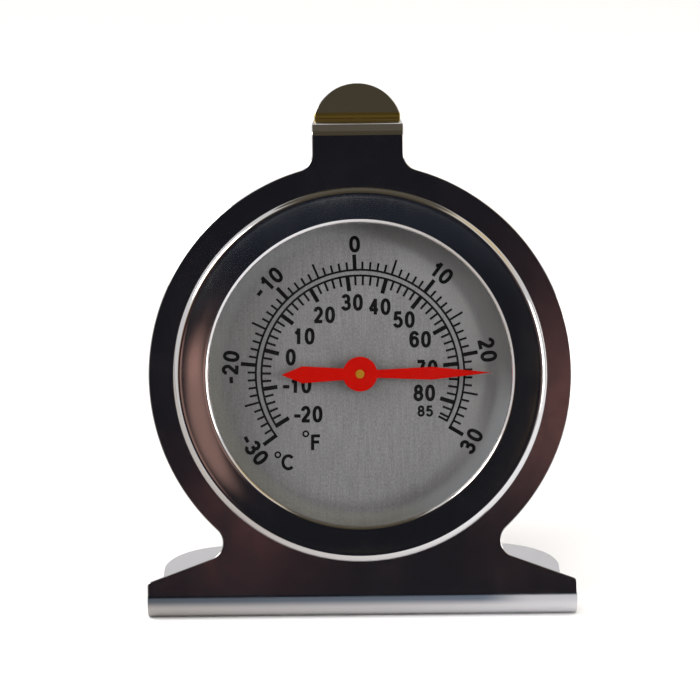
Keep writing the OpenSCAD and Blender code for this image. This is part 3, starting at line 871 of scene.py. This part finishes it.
def scales():
    """The triangles of both arcs and all their graduations."""
    triangles = []
    ends_c = celsius(-30), celsius(30)
    ends_f = fahrenheit(-20), fahrenheit(85)
    for radius, (start, end) in ((C_LINE, ends_c), (F_LINE, ends_f)):
        angles = [start + (end - start) * i / LINE_STEPS for i in range(LINE_STEPS + 1)]
        triangles += ribbon([polar(radius, angle) for angle in angles], LINE_W)
    half = LINE_W / 2
    for value in range(-30, 31):
        outer = C_LONG if value % 5 == 0 else C_SHORT
        width = C_TENTH_W if value % 10 == 0 else C_TICK_W
        triangles += tick(C_LINE - half, outer, celsius(value), width)
    for value in list(range(-20, 85, 2)) + [85]:
        inner, width = (F_LONG, F_TENTH_W) if value % 10 == 0 else (F_SHORT, F_TICK_W)
        triangles += tick(inner, F_LINE + half, fahrenheit(value), width)
    return triangles


# Celsius labels: each character, its angle on a circle, and 1 where its head points outwards
# or -1 where it points inwards.
C_LABELS = [
    ("0", 92.4, 1), ("1", 53.8, 1), ("0", 48.7, 1), ("2", 13.6, 1), ("0", 7.9, 1),
    ("-", 141.0, 1), ("1", 135.8, 1), ("0", 130.4, 1),
    ("-", 182.7, 1), ("2", 178.1, 1), ("0", 172.2, 1),
    ("-", 210.0, -1), ("3", 214.6, -1), ("0", 220.1, -1), ("3", -33.9, -1), ("0", -28.0, -1),
]
C_LABEL_R, C_SIZE, C_STROKE = 18.2, (1.53, 2.34), 0.49
# Fahrenheit labels: the middle of each pair of digits.
F_LABELS = [
    ("-20", -6.77, -5.62), ("-10", -8.34, -1.53), ("0", -9.70, 2.36), ("10", -7.88, 5.29),
    ("20", -5.02, 8.29), ("30", -1.12, 10.03), ("40", 2.76, 9.43), ("50", 6.14, 7.63),
    ("60", 8.41, 4.87), ("70", 9.35, 0.82), ("80", 9.00, -2.64),
]
F_SIZE, F_PITCH, F_STROKE = (1.40, 2.36), 1.64, 0.48
MINUS_W, MINUS_OFF = 0.95, (-2.0, -0.1)     # how wide a minus is, and its place beside two digits
F_END, F_END_SIZE, F_END_PITCH, F_END_STROKE = (9.14, -5.18), (1.02, 1.59), 1.18, 0.33
# Characters that stand alone: where, how wide and high, and their stroke.
UNITS = [
    ("o", -7.60, -8.38, 0.98, 0.98, 0.25), ("F", -6.14, -9.57, 1.44, 2.27, 0.44),
    ("o", -11.51, -11.31, 0.98, 0.98, 0.25), ("C", -10.04, -12.36, 1.97, 2.27, 0.44),
]


def number(digits, x, y, size, pitch, stroke):
    """The triangles of upright digits in a row with its middle at (x, y)."""
    triangles = []
    for i, symbol in enumerate(digits):
        at = x + (i - (len(digits) - 1) / 2) * pitch
        triangles += character(symbol, at, y, 0, *size, stroke)
    return triangles


def labels():
    """The triangles of every label on both scales, and of the two units."""
    triangles = []
    for symbol, angle, way in C_LABELS:
        x, y = polar(C_LABEL_R, angle)
        wide = MINUS_W if symbol == "-" else C_SIZE[0]
        triangles += character(symbol, x, y, angle - 90 * way, wide, C_SIZE[1], C_STROKE)
    for word, x, y in F_LABELS:
        digits = word.lstrip("-")
        triangles += number(digits, x, y, F_SIZE, F_PITCH, F_STROKE)
        if word != digits:
            across, up = MINUS_OFF
            triangles += character("-", x + across, y + up, 0, MINUS_W, F_SIZE[1], F_STROKE)
    triangles += number("85", *F_END, F_END_SIZE, F_END_PITCH, F_END_STROKE)
    for symbol, x, y, wide, high, stroke in UNITS:
        triangles += character(symbol, x, y, 0, wide, high, stroke)
    return triangles


LEAST_AREA = 1e-6      # twice the area, in square millimetres, of the least triangle that is kept
INK_TOP, INK_THICK = 0.02, 0.03     # how far the ink's top is above the dial, and its thickness


def print_dial():
    """One thin raised layer of ink. Strokes that cross are joined, so no face lies on another."""
    points, faces = [], []
    for a, b, c in scales() + labels():
        size = (b - a).cross(c - a)
        if abs(size) > LEAST_AREA:
            faces.append([len(points) + i for i in ((0, 1, 2) if size > 0 else (2, 1, 0))])
            points += [a, b, c]
    verts, _, cells, _, _, source = delaunay_2d_cdt(points, [], faces, 1, 1e-5)
    top = span("dial_plate")[3] + INK_TOP
    turn = math.radians(LOCAL_TURN)
    c, s = math.cos(turn), math.sin(turn)
    bm = bmesh.new()
    made = [bm.verts.new(on_face(v.x * c - v.y * s, v.x * s + v.y * c, top)) for v in verts]
    for cell, owners in zip(cells, source):
        if owners:
            bm.faces.new([made[i] for i in cell])
    loose = [v for v in bm.verts if not v.link_faces]
    bmesh.ops.delete(bm, geom=loose, context="VERTS")
    grown = bmesh.ops.extrude_face_region(bm, geom=list(bm.faces))
    down = [g for g in grown["geom"] if isinstance(g, bmesh.types.BMVert)]
    bmesh.ops.translate(bm, verts=down, vec=-face_out * INK_THICK * MM)
    bmesh.ops.triangulate(bm, faces=bm.faces)
    return bm


ink = piece("dial_print", print_dial(), dial_ink(), "case")


# ---------------------------------------------------------------- floor, light and camera

FLOOR_HALF = 3.0       # in metres


def floor():
    """White paper. What the metal mirrors of it is painted greyer, darkest at the left: painted shade."""
    bm = bmesh.new()
    bmesh.ops.create_grid(bm, x_segments=2, y_segments=2, size=FLOOR_HALF)
    mesh = bpy.data.meshes.new("floor")
    bm.to_mesh(mesh)
    bm.free()
    obj = bpy.data.objects.new("floor", mesh)
    bpy.context.scene.collection.objects.link(obj)
    mat, t, s = material("floor_paper")
    at = t.object_point()
    fibre = t.noise(at, 0.8, 4, 0.6)
    pale = t.mix(fibre, (0.93, 0.93, 0.93), (0.95, 0.95, 0.95))
    x, _, _ = t.split(at)
    # Painted shade: the floor as the metal mirrors it is greyer, darkest at the left.
    mirrored = t.mix(t.remap(x, -30, 30, smooth=False), (0.47, 0.45, 0.44), (0.80, 0.81, 0.86))
    t.put(s.inputs["Base Color"], t.mix(t.add("LightPath").outputs["Is Glossy Ray"], pale, mirrored))
    s.inputs["Roughness"].default_value = 0.9
    s.inputs["Specular IOR Level"].default_value = 0.1
    mesh.materials.append(mat)


# What the metal mirrors: soft patches of a white room, each with its middle across and up
# from the dial's axis, its half width and half height, how soft its rim is, and its colour.
# Across is measured from the plane that stands on the axis, and up runs round over the top.
ROOM = [
    (3, 90, 30, 50, 0.05, (0.13, 0.115, 0.088)),
    (42, 78, 12, 40, 0.40, (0.88, 0.68, 0.36)),
    (0, 8, 30, 26, 0.20, (0.0128, 0.0140, 0.0190)),
    (0, -13, 15, 6, 0.50, (0.018, 0.023, 0.034)),
    (0, 35, 24, 18, 0.06, (0.085, 0.072, 0.047)),
    (-24, 14, 7, 20, 0.35, (0.28, 0.15, 0.06)),
    (11.6, 2.7, 3.4, 6.0, 0.25, (0.33, 0.20, 0.175)),
    (12.3, -1.6, 2.2, 1.2, 0.6, (0.55, 0.31, 0.27)),
    (4.4, -0.6, 1.65, 1.10, 0.15, (0.25, 0.115, 0.11)),
    (3.4, -1.45, 0.7, 0.35, 0.6, (0.62, 0.30, 0.26)),
    (-1.65, -2.7, 0.42, 0.36, 0.4, (0.70, 0.29, 0.27)),
]
WHITE = 1.08           # behind the object, as the camera sees it
WALLS = (0.87, 0.87, 0.90)


def room_light():
    """The patches of ROOM over white walls, for all but the camera, which sees plain white."""
    world = bpy.data.worlds.new("studio")
    bpy.context.scene.world = world
    world.use_nodes = True
    t = Tree(world.node_tree)
    way = t.add("TexCoord").outputs["Generated"]
    across, up, out = (t.vector("DOT_PRODUCT", way, tuple(d)) for d in (face_right, face_up, face_out))
    u = t.math("DEGREES", t.math("ARCSINE", across))
    v = t.math("DEGREES", t.math("ARCTAN2", up, out))
    colour = WALLS
    for u0, v0, half_u, half_v, soft, tone in ROOM:
        a = t.math("DIVIDE", t.math("SUBTRACT", u, u0), half_u)
        b = t.math("DIVIDE", t.math("SUBTRACT", v, v0), half_v)
        far = t.vector("LENGTH", t.xyz(a, b, 0.0))
        colour = t.mix(t.remap(far, 1 + soft, 1 - soft), colour, tone)
    colour = t.mix(t.add("LightPath").outputs["Is Camera Ray"], colour, (WHITE, WHITE, WHITE))
    back = world.node_tree.nodes["Background"]
    t.put(back.inputs["Color"], colour)
    back.inputs["Strength"].default_value = 1.0


def soft_box(name, place, size, power, tint=(1, 1, 1), mirrored=True):
    """A square soft light at a place on the dial's frame, in millimetres, aimed at the dial."""
    light = bpy.data.lights.new(name, "AREA")
    light.size = size * MM
    light.energy = power
    light.color = tint
    obj = bpy.data.objects.new(name, light)
    obj.location = on_face(*place)
    obj.rotation_mode = "QUATERNION"
    obj.rotation_quaternion = (centre - obj.location).to_track_quat("-Z", "Y")
    obj.visible_glossy = mirrored
    bpy.context.scene.collection.objects.link(obj)


CAMERA_FAR = 530.0     # from the dial's face plane
CAMERA_AIM = (-1.37, 3.38)
VIEW_WIDE = 97.65      # what the picture spans on the face plane
ROLL = 0.6


def camera():
    """Straight in front of the dial, aimed a little beside its centre and slightly rolled."""
    data = bpy.data.cameras.new("camera")
    data.sensor_width = 36.0
    data.lens = data.sensor_width * CAMERA_FAR / VIEW_WIDE
    data.clip_start, data.clip_end = 0.01, 20
    obj = bpy.data.objects.new("camera", data)
    turn = Matrix.Rotation(math.radians(-ROLL), 4, "Z")
    obj.matrix_world = FACE @ Matrix.Translation(Vector((*CAMERA_AIM, CAMERA_FAR)) * MM) @ turn
    bpy.context.scene.collection.objects.link(obj)
    bpy.context.scene.camera = obj


floor()
room_light()
soft_box("key_light", (-520, 420, 420), 300, 3.0)
soft_box("fill_light", (560, 60, 380), 300, 1.6, (1.0, 0.97, 0.93))
soft_box("front_light", (0, 260, 640), 420, 2.4, mirrored=False)
soft_box("top_light", (0, 1440, 420), 1500, 12.0, mirrored=False)
camera()
bpy.context.scene.view_settings.view_transform = "Standard"
